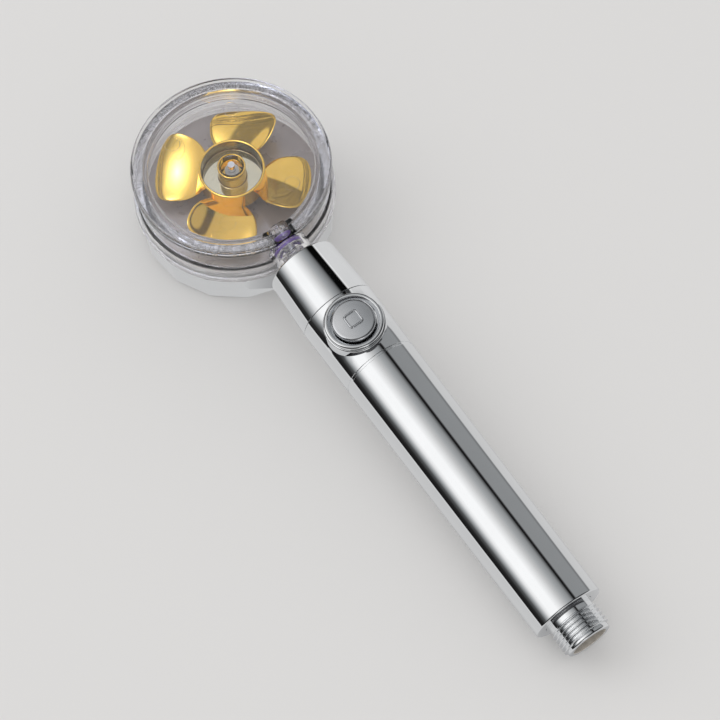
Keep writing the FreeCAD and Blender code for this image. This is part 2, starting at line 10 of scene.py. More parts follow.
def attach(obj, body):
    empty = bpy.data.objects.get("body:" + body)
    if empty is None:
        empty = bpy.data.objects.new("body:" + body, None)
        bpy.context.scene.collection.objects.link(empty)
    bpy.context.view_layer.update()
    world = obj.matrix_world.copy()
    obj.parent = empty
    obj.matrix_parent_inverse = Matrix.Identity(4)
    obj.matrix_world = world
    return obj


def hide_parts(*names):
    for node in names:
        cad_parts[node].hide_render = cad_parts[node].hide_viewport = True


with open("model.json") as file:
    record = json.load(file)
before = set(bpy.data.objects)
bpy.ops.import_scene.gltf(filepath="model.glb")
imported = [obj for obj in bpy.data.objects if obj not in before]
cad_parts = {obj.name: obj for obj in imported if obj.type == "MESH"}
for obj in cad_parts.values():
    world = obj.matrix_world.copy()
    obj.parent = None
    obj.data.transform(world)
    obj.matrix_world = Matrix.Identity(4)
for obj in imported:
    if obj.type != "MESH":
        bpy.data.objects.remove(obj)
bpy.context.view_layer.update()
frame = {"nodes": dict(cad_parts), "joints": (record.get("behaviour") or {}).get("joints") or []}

bl_info = {
    "name": "Handheld shower head",
    "version": (1, 0, 0),
    "blender": (4, 5, 0),
    "location": "View3D > Sidebar > Shower head",
    "description": "Builds the looks of a handheld shower head around its packed frame",
    "category": "Add Mesh",
}

MM = 0.001

# ---- where things lie: the handle's axis, the head's axis and the push valve's axis ----
joints = {joint["name"]: joint for joint in frame["joints"]}
ALONG = Vector(joints["head_swivel"]["axis"]).normalized()
OUT = Vector(joints["fan_spin"]["axis"]).normalized()
ACROSS = OUT.cross(ALONG).normalized()


def seat(origin, x_axis, y_axis, z_axis):
    """Matrix from a local frame to the row frame."""
    turned = Matrix((x_axis, y_axis, z_axis)).transposed().to_4x4()
    return Matrix.Translation(origin) @ turned


HANDLE = seat(Vector(joints["head_swivel"]["pos_m"]), ALONG, ACROSS, OUT)
HEAD = seat(Vector(joints["fan_spin"]["pos_m"]), ALONG, ACROSS, OUT)
PUSH = -Vector(joints["stop_push"]["axis"]).normalized()
BUTTON_ALONG = 0.0145
BUTTON = seat(HANDLE @ Vector((BUTTON_ALONG, 0.0, 0.0)), ALONG, PUSH.cross(ALONG), PUSH)
# the camera, in the handle's frame
CAMERA_PLACE = Vector((0.29573, -0.18126, 0.73668))
CAMERA_AIM = Vector((0.02240, -0.00476, 0.0))
CAMERA_UP = Vector((-0.74815, 0.52655, 0.40375))


# ---- settings that a user may change ----
def length(name, description, default):
    return bpy.props.FloatProperty(
        name=name, description=description, default=default, min=0.0, unit="LENGTH", precision=5)


def colour(name, description, default):
    return bpy.props.FloatVectorProperty(
        name=name, description=description, default=default, size=3, min=0.0, max=1.0, subtype="COLOR")


class ShowerSizes(bpy.types.PropertyGroup):
    cap_radius: length("Cap radius", "Outside radius of the clear back cap", 0.0421)
    cap_top: length("Cap height", "Back of the head above the handle's axis", 0.0097)
    cap_plate: length("Cap thickness", "Thickness of the cap's clear plate", 0.0028)
    mark_radius: length("Mould mark radius", "Radius of the round mould marks under the cap", 0.00325)
    mark_ring: length("Mould mark ring", "Distance of the mould marks from the head's axis", 0.0270)
    hub_radius: length("Hub radius", "Outside radius of the fan's cup", 0.0140)
    blade_tip: length("Blade tip radius", "Head axis to the tip of a blade", 0.0334)
    blade_width: length("Blade width", "Widest size across a blade", 0.0324)
    blade_thickness: length("Blade thickness", "Thickness of a blade", 0.0012)
    blade_count: bpy.props.IntProperty(
        name="Blades", description="Number of blades on the fan", default=4, min=2, max=8)
    blade_turn: bpy.props.FloatProperty(
        name="Blade turn", description="Where the first blade stands", default=math.radians(46.8),
        subtype="ANGLE")
    blade_slope: bpy.props.FloatProperty(
        name="Blade slope", description="Fall across a blade for each unit sideways", default=0.25)
    nut_front: length("Neck nut front radius", "Radius of the neck nut at the head", 0.0152)
    joint: length("Joint radius", "Radius where the neck nut meets the valve body", 0.0165)
    grip_front: length("Grip front radius", "Radius of the grip at the valve body", 0.0161)
    grip_end: length("Grip end radius", "Radius of the grip at the hose", 0.0149)
    grip_length: length("Grip length", "Length of the grip", 0.1239)
    button_radius: length("Button radius", "Radius of the stop button", 0.0090)
    button_top: length("Button height", "Middle of the stop button above the handle's axis", 0.0222)
    button_dome: length("Button dome", "Radius of the stop button's domed top", 0.0600)
    mark_size: length("Stop mark", "Width of the raised square on the button", 0.0057)
    mark_line: length("Stop mark line", "Width of the raised line", 0.0011)
    thread_radius: length("Thread radius", "Outside radius of the hose thread", 0.0104775)
    thread_pitch: length("Thread pitch", "Advance of the hose thread in one turn", 0.001814)


class ShowerColours(bpy.types.PropertyGroup):
    chrome: colour("Chrome", "Colour of the chrome plating", (0.92, 0.93, 0.94))
    satin: colour("Satin chrome", "Colour of the button's plating", (0.80, 0.81, 0.83))
    gold: colour("Gold", "Colour of the fan's plating", (1.0, 0.66, 0.14))
    clear: colour("Clear plastic", "Tint of the clear plastic", (0.985, 0.978, 0.985))
    violet: colour("Violet seal", "Colour of the nozzle's seals", (0.22, 0.13, 0.50))
    plate: colour("Grey plate", "Colour of the plate under the fan", (0.41, 0.375, 0.365))
    steel: colour("Stainless", "Colour of the spray plate", (0.62, 0.62, 0.63))
    brass: colour("Brass", "Colour of the bare brass in the inlet", (0.66, 0.62, 0.56))
    white: colour("White plastic", "Colour of bearings and filter parts", (0.82, 0.82, 0.80))
    black: colour("Black rubber", "Colour of the hidden seals", (0.02, 0.02, 0.022))


class ShowerStudio(bpy.types.PropertyGroup):
    floor: colour("Floor", "Colour of the floor", (0.66, 0.655, 0.65))
    lens: bpy.props.FloatProperty(
        name="Lens", description="Focal length of the camera in millimetres", default=100.0, min=10.0)
    key_power: bpy.props.FloatProperty(
        name="Key light", description="Power of the large soft light", default=22.0, min=0.0, unit="POWER")
    fill_power: bpy.props.FloatProperty(
        name="Fill light", description="Power of the light overhead", default=12.0, min=0.0, unit="POWER")


# ---- mesh helpers ----
def rounded(points, steps=6):
    """Profile through (u, v) points. A third number on a point rounds its corner."""
    line = []
    count = len(points)
    for i, point in enumerate(points):
        here = Vector(point[:2])
        if len(point) < 3:
            line.append(here)
            continue
        back = (Vector(points[i - 1][:2]) - here).normalized()
        ahead = (Vector(points[(i + 1) % count][:2]) - here).normalized()
        half = back.angle(ahead) / 2
        centre = here + (back + ahead).normalized() * (point[2] / math.sin(half))
        start = here + back * (point[2] / math.tan(half)) - centre
        end = here + ahead * (point[2] / math.tan(half)) - centre
        for step in range(steps + 1):
            line.append(centre + start.slerp(end, step / steps) * point[2])
    return line


def lathe(points, segments=192, axis="X", wobble=None):
    """Closed mesh turned about an axis from (along, radius) points in millimetres.

    wobble(along, turn, radius) may change the radius, as it does for the screw thread.
    """
    mesh = bmesh.new()
    rings = []
    for along, radius in rounded(points):
        ring = []
        for i in range(1 if radius < 1e-6 else segments):
            turn = 2 * math.pi * i / segments
            r = wobble(along, turn, radius) if wobble else radius
            c, s = r * math.cos(turn), r * math.sin(turn)
            spot = (along, c, s) if axis == "X" else (c, s, along)
            ring.append(mesh.verts.new(Vector(spot) * MM))
        rings.append(ring)
    for ring, after in zip(rings, rings[1:] + rings[:1]):
        for i in range(segments):
            j = (i + 1) % segments
            corners = [ring[i % len(ring)], ring[j % len(ring)], after[j % len(after)], after[i % len(after)]]
            corners = list(dict.fromkeys(corners))
            if len(corners) > 2:
                mesh.faces.new(corners)
    bmesh.ops.recalc_face_normals(mesh, faces=mesh.faces)
    return mesh


def linked(name, mesh):
    """New object of a bmesh, linked to the scene. The bmesh is used up."""
    data = bpy.data.meshes.new(name)
    mesh.to_mesh(data)
    mesh.free()
    made = bpy.data.objects.new(name, data)
    bpy.context.scene.collection.objects.link(made)
    return made


def cad_copy(node):
    """The node's own surface with its loose triangles joined."""
    mesh = bmesh.new()
    mesh.from_mesh(frame["nodes"][node].data)
    bmesh.ops.remove_doubles(mesh, verts=mesh.verts, dist=1e-6)
    bmesh.ops.dissolve_degenerate(mesh, edges=mesh.edges, dist=1e-7)
    return mesh


def piece(name, mesh, body, material, stands_for=(), place=None, sharp=30.0):
    """Makes an object of a bmesh, in its place, riding on its body."""
    if place is not None:
        mesh.transform(place)
    for edge in mesh.edges:
        edge.smooth = len(edge.link_faces) == 2 and edge.calc_face_angle() < math.radians(sharp)
    for face in mesh.faces:
        face.smooth = True
    made = linked(name, mesh)
    made.data.materials.append(material)
    normals = made.modifiers.new("Even shading", "WEIGHTED_NORMAL")
    normals.keep_sharp = True
    normals.mode = "FACE_AREA_WITH_ANGLE"
    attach(made, body)
    if stands_for:
        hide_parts(*stands_for)
    return made


def carved(first, second, operation):
    """First mesh with the second joined to it or cut from it."""
    base = linked("carving", first)
    tool = linked("carving", second)
    cutter = base.modifiers.new("Carve", "BOOLEAN")
    cutter.operation = operation
    cutter.solver = "EXACT"
    cutter.object = tool
    shown = base.evaluated_get(bpy.context.evaluated_depsgraph_get())
    result = bmesh.new()
    result.from_mesh(shown.data)
    bpy.data.objects.remove(base)
    bpy.data.objects.remove(tool)
    return result


def moved(mesh, place):
    mesh.transform(place)
    return mesh


def finish_node(node, material):
    """Gives a CAD node that stays its material."""
    target = frame["nodes"][node]
    target.data.materials.clear()
    target.data.materials.append(material)


# ---- geometry node helpers ----
class Field:
    """A number in a node tree, so that sums can be written as sums."""

    def __init__(self, tree, socket):
        self.tree = tree
        self.socket = socket

    def math(self, operation, *others):
        node = self.tree.nodes.new("ShaderNodeMath")
        node.operation = operation
        for slot, value in zip(node.inputs, (self, *others)):
            plug(self.tree, slot, value)
        return Field(self.tree, node.outputs[0])

    def __add__(self, other):
        return self.math("ADD", other)

    def __sub__(self, other):
        return self.math("SUBTRACT", other)

    def __mul__(self, other):
        return self.math("MULTIPLY", other)

    def __truediv__(self, other):
        return self.math("DIVIDE", other)

    def __pow__(self, other):
        return self.math("POWER", other)


def plug(tree, slot, value):
    """Links a field or socket to a slot, or sets the slot's plain value."""
    if isinstance(value, Field):
        value = value.socket
    if isinstance(value, bpy.types.NodeSocket):
        tree.links.new(value, slot)
    else:
        slot.default_value = value


def add(tree, kind, settings=None, **inputs):
    """New node, with settings on the node and inputs by socket name."""
    node = tree.nodes.new(kind)
    for key, value in (settings or {}).items():
        setattr(node, key, value)
    for key, value in inputs.items():
        plug(tree, node.inputs[key.replace("_", " ")], value)
    return node


def new_tree(name, inputs):
    """Geometry tree with a Geometry input and the named inputs, and its in and out nodes."""
    tree = bpy.data.node_groups.new(name, "GeometryNodeTree")
    tree.interface.new_socket("Geometry", in_out="INPUT", socket_type="NodeSocketGeometry")
    for label, kind in inputs.items():
        tree.interface.new_socket(label, in_out="INPUT", socket_type="NodeSocket" + kind)
    tree.interface.new_socket("Geometry", in_out="OUTPUT", socket_type="NodeSocketGeometry")
    entry = tree.nodes.new("NodeGroupInput")
    leave = tree.nodes.new("NodeGroupOutput")
    fields = {}
    for label, kind in inputs.items():
        socket = entry.outputs[label]
        fields[label] = Field(tree, socket) if kind in ("Float", "Int") else socket
    return tree, entry, leave, fields


def join_shells(tree, shells):
    node = add(tree, "GeometryNodeJoinGeometry")
    for shell in shells:
        tree.links.new(shell, node.inputs[0])
    return node.outputs[0]


def close_tree(tree, geometry, finish, leave):
    """Paints the geometry with the finish and leads it out of the tree."""
    painted = add(tree, "GeometryNodeSetMaterial", Geometry=geometry)
    tree.links.new(finish, painted.inputs["Material"])
    tree.links.new(painted.outputs[0], leave.inputs[0])
    return tree


def grown(mesh, tree, values):
    """Runs a geometry tree on a mesh and returns the plain result as a bmesh."""
    host = linked("host", mesh)
    modifier = host.modifiers.new("Grow", "NODES")
    modifier.node_group = tree
    for item in tree.interface.items_tree:
        if item.in_out == "INPUT" and item.name in values:
            modifier[item.identifier] = values[item.name]
    shown = host.evaluated_get(bpy.context.evaluated_depsgraph_get())
    result = bpy.data.meshes.new_from_object(shown)
    host.modifiers.remove(modifier)
    bpy.data.objects.remove(host)
    plain = bmesh.new()
    plain.from_mesh(result)
    bpy.data.meshes.remove(result)
    return plain


# ---- materials ----
def new_material(name, **values):
    """Material with one Principled shader, its plain values set on the shader."""
    material = bpy.data.materials.new(name)
    material.use_nodes = True
    tree = material.node_tree
    shader = tree.nodes["Principled BSDF"]
    for key, value in values.items():
        label = key.replace("_", " ")
        shader.inputs[label].default_value = (*value, 1.0) if label == "Base Color" else value
    return material, tree, shader


def object_spots(tree, scale=(1.0, 1.0, 1.0), place=None):
    """Object coordinates, stretched by scale and turned back by a placing matrix."""
    spots = tree.nodes.new("ShaderNodeTexCoord").outputs["Object"]
    if place is not None:
        back = place.inverted()
        turn = add(tree, "ShaderNodeMapping", Vector=spots)
        turn.inputs["Location"].default_value = back.to_translation()
        turn.inputs["Rotation"].default_value = back.to_euler()
        spots = turn.outputs[0]
    stretch = add(tree, "ShaderNodeMapping", Vector=spots)
    stretch.inputs["Scale"].default_value = scale
    return stretch.outputs[0]


def noise(tree, spots, size, detail=3.0, roughness=0.5):
    """Noise whose grains are about size metres across."""
    node = add(tree, "ShaderNodeTexNoise", Vector=spots, Scale=1.0 / size, Detail=detail, Roughness=roughness)
    return node.outputs["Fac"]


def ranged(tree, value, low, high, from_low=0.3, from_high=0.7, smooth=False):
    settings = {"interpolation_type": "SMOOTHSTEP" if smooth else "LINEAR"}
    node = add(tree, "ShaderNodeMapRange", settings, Value=value)
    for label, number in (("From Min", from_low), ("From Max", from_high), ("To Min", low), ("To Max", high)):
        node.inputs[label].default_value = number
    return node.outputs[0]


def blend_colours(tree, share, first, second):
    node = add(tree, "ShaderNodeMix", {"data_type": "RGBA"})
    plug(tree, node.inputs[0], share)
    for slot, value in ((node.inputs[6], first), (node.inputs[7], second)):
        plug(tree, slot, (*value, 1.0) if isinstance(value, tuple) else value)
    return node.outputs[2]


def bump(tree, shader, height, strength, depth):
    node = add(tree, "ShaderNodeBump", Height=height, Strength=strength, Distance=depth)
    tree.links.new(node.outputs[0], shader.inputs["Normal"])


def shaded(value, share):
    return tuple(channel * share for channel in value)


def mottle(tree, shader, share, tint, darkest):
    """Base colour between the tint and a darker tint."""
    colours = blend_colours(tree, share, shaded(tint, darkest), tint)
    tree.links.new(colours, shader.inputs["Base Color"])


def measured(tree, spots, keep=(1.0, 1.0, 1.0)):
    """Length of the coordinates, counting only the axes to keep."""
    flat = add(tree, "ShaderNodeVectorMath", {"operation": "MULTIPLY"})
    tree.links.new(spots, flat.inputs[0])
    flat.inputs[1].default_value = keep
    length_of = add(tree, "ShaderNodeVectorMath", {"operation": "LENGTH"})
    tree.links.new(flat.outputs[0], length_of.inputs[0])
    return length_of.outputs["Value"]


def mixed(tree, share, first, second):
    """Two shaders mixed, led to the material's output."""
    mix = tree.nodes.new("ShaderNodeMixShader")
    tree.links.new(share, mix.inputs[0])
    tree.links.new(first, mix.inputs[1])
    tree.links.new(second, mix.inputs[2])
    tree.links.new(mix.outputs[0], tree.nodes["Material Output"].inputs["Surface"])


def plating(name, tint, low, high, ripple=0.02):
    """Plated plastic: a mirror with faint moulding ripple, water haze and fine wiping marks."""
    material, tree, shader = new_material(name, Metallic=1.0, Base_Color=tint, Specular_IOR_Level=0.5)
    spots = object_spots(tree)
    haze = noise(tree, spots, 0.012, 4.0, 0.6)
    wipes = noise(tree, object_spots(tree, (0.15, 1.0, 1.0)), 0.0006, 2.0, 0.6)
    both = Field(tree, haze) * 0.75 + Field(tree, wipes) * 0.25
    tree.links.new(ranged(tree, both, low, high), shader.inputs["Roughness"])
    mottle(tree, shader, ranged(tree, haze, 0.0, 1.0), tint, 0.97)
    bump(tree, shader, noise(tree, spots, 0.009, 1.0), ripple, 0.0004)
    return material


def clear_plastic(name, tint, scratches=0.02):
    """Clear polycarbonate. Lamps shine through it, so that what is inside is lit."""
    material, tree, shader = new_material(
        name, Base_Color=tint, Transmission_Weight=1.0, IOR=1.57, Specular_IOR_Level=0.5)
    swirl = noise(tree, object_spots(tree), 0.02, 2.0)
    tree.links.new(ranged(tree, swirl, 0.0, 0.012), shader.inputs["Roughness"])
    bump(tree, shader, noise(tree, object_spots(tree), 0.006, 1.0), scratches, 0.00004)
    through = add(tree, "ShaderNodeBsdfTransparent")
    through.inputs["Color"].default_value = (*shaded(tint, 0.97), 1.0)
    path = tree.nodes.new("ShaderNodeLightPath")
    mixed(tree, path.outputs["Is Shadow Ray"], shader.outputs[0], through.outputs[0])
    return material


def soft_rubber(name, tint):
    """Moulded rubber with a fine grain and a faint bloom."""
    material, tree, shader = new_material(name, Base_Color=tint, Specular_IOR_Level=0.4, Sheen_Weight=0.1)
    spots = object_spots(tree)
    bloom = noise(tree, spots, 0.003, 4.0)
    mottle(tree, shader, ranged(tree, bloom, 0.0, 1.0), tint, 0.8)
    tree.links.new(ranged(tree, bloom, 0.35, 0.5), shader.inputs["Roughness"])
    bump(tree, shader, noise(tree, spots, 0.0004, 2.0), 0.15, 0.00005)
    return material


def moulded(name, tint):
    """Plain moulded plastic with a fine spark-eroded grain."""
    material, tree, shader = new_material(name, Base_Color=tint, Specular_IOR_Level=0.5)
    spots = object_spots(tree)
    cloud = noise(tree, spots, 0.006, 3.0)
    mottle(tree, shader, ranged(tree, cloud, 0.0, 1.0), tint, 0.93)
    tree.links.new(ranged(tree, cloud, 0.38, 0.5), shader.inputs["Roughness"])
    bump(tree, shader, noise(tree, spots, 0.0005, 2.0), 0.2, 0.00004)
    return material


def cup_plating_and_shade(name, tint, cup, low, high, ripple):
    """Mirror gold, thinner and greyer inside the hub's cup, where the plating hardly reaches, with painted
    shade on the cup's wall.
    """
    material = plating(name, tint, low, high, ripple)
    tree = material.node_tree
    shader = tree.nodes["Principled BSDF"]
    spots = object_spots(tree, (1.0, 1.0, 1.0), HEAD)
    height = add(tree, "ShaderNodeSeparateXYZ", Vector=spots).outputs[2]
    radius = measured(tree, spots, (1.0, 1.0, 0.0))
    within = Field(tree, ranged(tree, radius, 1.0, 0.0, 0.01288, 0.01296))
    past_tube = Field(tree, ranged(tree, radius, 0.0, 1.0, 0.0061, 0.0063))
    above_floor = Field(tree, ranged(tree, height, 0.0, 1.0, -0.0027, -0.0026))
    inside = within * past_tube * above_floor
    # painted shade: the cup's wall is darker than its floor, and darkest at the foot
    wall = Field(tree, ranged(tree, radius, 0.0, 1.0, 0.0122, 0.0127))
    foot = Field(tree, ranged(tree, height, 1.0, 0.0, -0.0022, 0.0036, True))
    grey = blend_colours(tree, wall * (foot * 0.5 + 0.5), cup, shaded(tint, 0.32))
    plated = shader.inputs["Base Color"].links[0].from_socket
    tree.links.new(blend_colours(tree, inside, plated, grey), shader.inputs["Base Color"])
    return material


def hazed_plastic(name, tint, haze):
    """Clear polycarbonate with flow haze from the mould, in soft bands low on the wall."""
    material = clear_plastic(name, tint)
    tree = material.node_tree
    clear = tree.nodes["Material Output"].inputs["Surface"].links[0].from_socket
    stretch = 9.0
    spots = object_spots(tree, (1.0, 1.0, stretch), HEAD)
    bands = noise(tree, spots, 0.02, 3.0)
    milk = add(tree, "ShaderNodeBsdfDiffuse", Color=(*shaded(tint, 0.92), 1.0))
    height = add(tree, "ShaderNodeSeparateXYZ", Vector=spots).outputs[2]
    radius = measured(tree, spots, (1.0, 1.0, 0.0))
    # none under the cap's rim, where the wall is polished, and none on the neck
    low = Field(tree, ranged(tree, height, 1.0, 0.0, -0.0062 * stretch, -0.0048 * stretch, True))
    near = Field(tree, ranged(tree, radius, 1.0, 0.0, 0.0432, 0.0436))
    amount = Field(tree, ranged(tree, bands, haze * 0.3, haze * 1.4))
    mixed(tree, (low * near * amount).socket, clear, milk.outputs[0])
    return material


def wound_fibre(name, tint):
    """Wound filter thread: crossing helical strands."""
    material, tree, shader = new_material(name, Base_Color=tint, Roughness=0.9, Sheen_Weight=0.3)
    spots = object_spots(tree, (1.0, 1.0, 1.0), HANDLE)
    apart = add(tree, "ShaderNodeSeparateXYZ", Vector=spots)
    along = Field(tree, apart.outputs[0])
    turn = Field(tree, apart.outputs[1]).math("ARCTAN2", apart.outputs[2]) * 0.003
    rise = ((along + turn) * 2600.0).math("SINE")
    fall = ((along - turn) * 2600.0).math("SINE")
    weave = rise.math("MAXIMUM", fall)
    mottle(tree, shader, ranged(tree, weave, 0.0, 1.0, -1.0, 1.0), tint, 0.7)
    bump(tree, shader, weave.socket, 0.6, 0.0003)
    return material


def satin_plate(name, tint, metal=0.3, low=0.26, high=0.30):
    """Satin metallic surface with a fine grain in shells about the fan's middle."""
    material, tree, shader = new_material(name, Base_Color=tint, Metallic=metal)
    spots = object_spots(tree, (1.0, 1.0, 1.0), HEAD)
    rings = add(tree, "ShaderNodeTexNoise", {"noise_dimensions": "1D"}, Scale=9000.0, Detail=2.0)
    tree.links.new(measured(tree, spots), rings.inputs["W"])
    cloud = noise(tree, spots, 0.012, 3.0)
    tree.links.new(ranged(tree, cloud, low, high), shader.inputs["Roughness"])
    mottle(tree, shader, ranged(tree, cloud, 0.0, 1.0), tint, 0.97)
    bump(tree, shader, rings.outputs["Fac"], 0.03, 0.00003)
    return material


def plated_brass(name, chrome, brass):
    """Chrome outside, bare and stained brass inside the bore."""
    material, tree, shader = new_material(name, Metallic=1.0)
    spots = object_spots(tree, (1.0, 1.0, 1.0), HANDLE)
    outside = ranged(tree, measured(tree, spots, (0.0, 1.0, 1.0)), 0.0, 1.0, 0.00755, 0.0078)
    stain = noise(tree, spots, 0.002, 4.0, 0.7)
    worn = blend_colours(tree, ranged(tree, stain, 0.0, 1.0), shaded(brass, 0.7), brass)
    tree.links.new(blend_colours(tree, outside, worn, chrome), shader.inputs["Base Color"])
    rough = Field(tree, ranged(tree, stain, 0.38, 0.6)) * (Field(tree, outside) * -1.0 + 1.0)
    tree.links.new((rough + 0.06).socket, shader.inputs["Roughness"])
    tree.links.new((Field(tree, outside) * 0.7 + 0.3).socket, shader.inputs["Metallic"])
    bump(tree, shader, noise(tree, spots, 0.0008, 2.0), 0.06, 0.00005)
    return material


finishes = {}


def finish_of(name):
    """One material for each finish, made when it is first asked for."""
    if name not in finishes:
        tints = bpy.context.scene.shower_colours
        tint = {key: tuple(getattr(tints, key)) for key in ShowerColours.__annotations__}
        makers = {
            "chrome": lambda: plating("Mirror chrome", tint["chrome"], 0.02, 0.06),
            "ring_chrome": lambda: plating("Face ring chrome", shaded(tint["chrome"], 0.96), 0.06, 0.14),
            "satin": lambda: plating("Satin chrome", tint["satin"], 0.14, 0.24, 0.03),
            "gold": lambda: cup_plating_and_shade("Mirror gold", tint["gold"], (0.56, 0.53, 0.40), 0.02, 0.07, 0.05),
            "clear": lambda: clear_plastic("Clear polycarbonate", tint["clear"]),
            "clear_wall": lambda: hazed_plastic("Clear moulded wall", tint["clear"], 0.30),
            "clear_nozzle": lambda: clear_plastic("Clear nozzle", shaded(tint["clear"], 0.99), 0.03),
            "clear_seal": lambda: clear_plastic("Clear silicone", shaded(tint["clear"], 0.94), 0.08),
            "violet": lambda: soft_rubber("Violet silicone", tint["violet"]),
            "black": lambda: soft_rubber("Black rubber", tint["black"]),
            "white": lambda: moulded("White acetal", tint["white"]),
            "fibre": lambda: wound_fibre("Wound fibre", tint["white"]),
            "plate": lambda: satin_plate("Satin grey plate", tint["plate"]),
            "steel": lambda: satin_plate("Brushed stainless", tint["steel"], 1.0, 0.25, 0.4),
            "brass": lambda: plated_brass("Plated brass", tint["chrome"], tint["brass"]),
        }
        finishes[name] = makers[name]()
    return finishes[name]


# ---- operators; their lathe profiles are in millimetres ----
# the cap's rim, which rests on the wall
RIM_HEIGHT = 4.0
RIM_WIDTH = 4.7
# segments around the clear pieces, whose facets would show through
FINE = 384


def mark_tree():
    """A thin raised ring at each point, as ejector pins leave in clear plastic."""
    tree, entry, leave, size = new_tree(
        "Mould marks", {"Radius": "Float", "Line": "Float", "Finish": "Material"})
    ring = add(tree, "GeometryNodeCurvePrimitiveCircle", Resolution=64, Radius=size["Radius"])
    line = add(tree, "GeometryNodeCurvePrimitiveCircle", Resolution=8, Radius=size["Line"])
    tube = add(tree, "GeometryNodeCurveToMesh", Curve=ring.outputs[0], Profile_Curve=line.outputs[0])
    spread = add(
        tree, "GeometryNodeInstanceOnPoints", Points=entry.outputs["Geometry"], Instance=tube.outputs[0])
    real = add(tree, "GeometryNodeRealizeInstances", Geometry=spread.outputs[0])
    return close_tree(tree, real.outputs[0], size["Finish"], leave)


class SHOWER_OT_back_cap(bpy.types.Operator):
    """Clear back cap with its boss and round mould marks"""
    bl_idname = "shower.back_cap"
    bl_label = "Back cap"
    bl_options = {"REGISTER", "UNDO"}

    def execute(self, context):
        sizes = context.scene.shower_sizes
        clear = finish_of("clear")
        rim = sizes.cap_radius / MM
        top = sizes.cap_top / MM
        under = top - sizes.cap_plate / MM
        rest = top - RIM_HEIGHT
        plug = rim - RIM_WIDTH - 0.48
        plug_end = rest - 4.4
        plug_inside = plug - 1.9
        boss, boss_end, pin_hole, pin_end = 4.8, 0.6, 1.5, under + 1.0
        groove_middle = (rest - 2.2, plug - 0.82)
        groove_size, half_turn, cuts = 0.9, math.radians(155.7), 14
        groove = []
        for cut in range(cuts + 1):
            turn = half_turn * (1 - 2 * cut / cuts)
            depth = groove_middle[1] - groove_size * math.cos(turn)
            groove.append((groove_middle[0] + groove_size * math.sin(turn), depth))
        shape = lathe([
            (top, 0.0), (top, rim, 1.3), (rest, rim, 0.5), (rest, rim - RIM_WIDTH), (under, rim - RIM_WIDTH),
            (under, plug)] + groove + [
            (plug_end, plug, 0.2), (plug_end, plug_inside, 0.2), (under, plug_inside, 0.3),
            (under, boss, 0.4), (boss_end, boss, 0.3), (boss_end, pin_hole), (pin_end, pin_hole),
            (pin_end, 0.0)], FINE, "Z")
        # the plug is cut away around the inlet's collar
        collar = lathe([(33.9, 0.0), (33.9, 7.68), (60.0, 7.68), (60.0, 0.0)], 96)
        shape = carved(shape, collar, "DIFFERENCE")
        piece("back_cap_clear", shape, "head", clear, ["back_cap"], HEAD)
        spots = bmesh.new()
        for degrees in (36, -36, 147, -147):
            turn = math.radians(degrees)
            spots.verts.new(sizes.mark_ring * Vector((math.cos(turn), math.sin(turn), 0.0)))
        bmesh.ops.translate(spots, verts=spots.verts, vec=(0.0, 0.0, sizes.cap_top - sizes.cap_plate))
        line = 0.00011
        marks = grown(spots, mark_tree(), {"Radius": sizes.mark_radius, "Line": line, "Finish": clear})
        piece("cap_mould_marks", marks, "head", clear, place=HEAD)
        return {"FINISHED"}


class SHOWER_OT_housing(bpy.types.Operator):
    """Clear chamber wall with its bands, bead, neck and swivel tail"""
    bl_idname = "shower.housing"
    bl_label = "Chamber wall"
    bl_options = {"REGISTER", "UNDO"}

    def execute(self, context):
        sizes = context.scene.shower_sizes
        rim = sizes.cap_radius / MM
        rest = sizes.cap_top / MM - RIM_HEIGHT
        inside, outside, band, bead = rim - 5.1, rim - 0.9, rim + 0.3, rim + 0.97
        floor, foot, skirt, skirt_inside = -13.5, -28.6, rim - 3.6, rim - 7.1
        wall = lathe([
            (floor, inside), (rest, inside), (rest, outside, 0.4), (-4.5, outside), (-5.3, band),
            (-12.3, band), (-12.3, rim - 0.2), (-12.8, rim - 0.2), (-12.8, bead, 0.6), (-15.6, bead, 0.9),
            (-15.6, skirt), (foot, skirt), (foot, skirt_inside), (floor, skirt_inside)], FINE, "Z")
        # the neck lies along the handle's axis, with a seal groove and a clip groove
        neck_r, tail_r, seal_groove, clip_groove = 8.6, 8.4, 6.82, 7.4
        collar_r, socket_r, bore_r = 7.6, 6.6, 5.2
        to_handle = HEAD.inverted() @ HANDLE
        neck = moved(lathe([
            (-40.4, 0.0), (-40.4, neck_r), (-18.0, neck_r), (-18.0, clip_groove), (-15.5, clip_groove),
            (-15.5, neck_r), (-14.5, neck_r), (-14.5, tail_r), (-8.17, tail_r), (-8.17, seal_groove),
            (-5.83, seal_groove), (-5.83, tail_r), (-3.5, tail_r, 0.8), (-3.5, 0.0)], 128), to_handle)
        cap_room = lathe([(rest, 0.0), (rest, band), (rest + 12.0, band), (rest + 12.0, 0.0)], FINE, "Z")
        collar = moved(lathe([
            (-41.0, 0.0), (-41.0, collar_r), (-26.2, collar_r), (-26.2, 0.0)], 128), to_handle)
        bore = moved(lathe([
            (-44.0, 0.0), (-44.0, socket_r), (-31.5, socket_r), (-31.5, bore_r), (-3.0, bore_r),
            (-3.0, 0.0)], 128), to_handle)
        shape = carved(wall, carved(neck, cap_room, "DIFFERENCE"), "UNION")
        shape = carved(carved(shape, collar, "UNION"), bore, "DIFFERENCE")
        piece("chamber_wall_clear", shape, "head", finish_of("clear_wall"),
              ["head_housing"], HEAD)
        return {"FINISHED"}


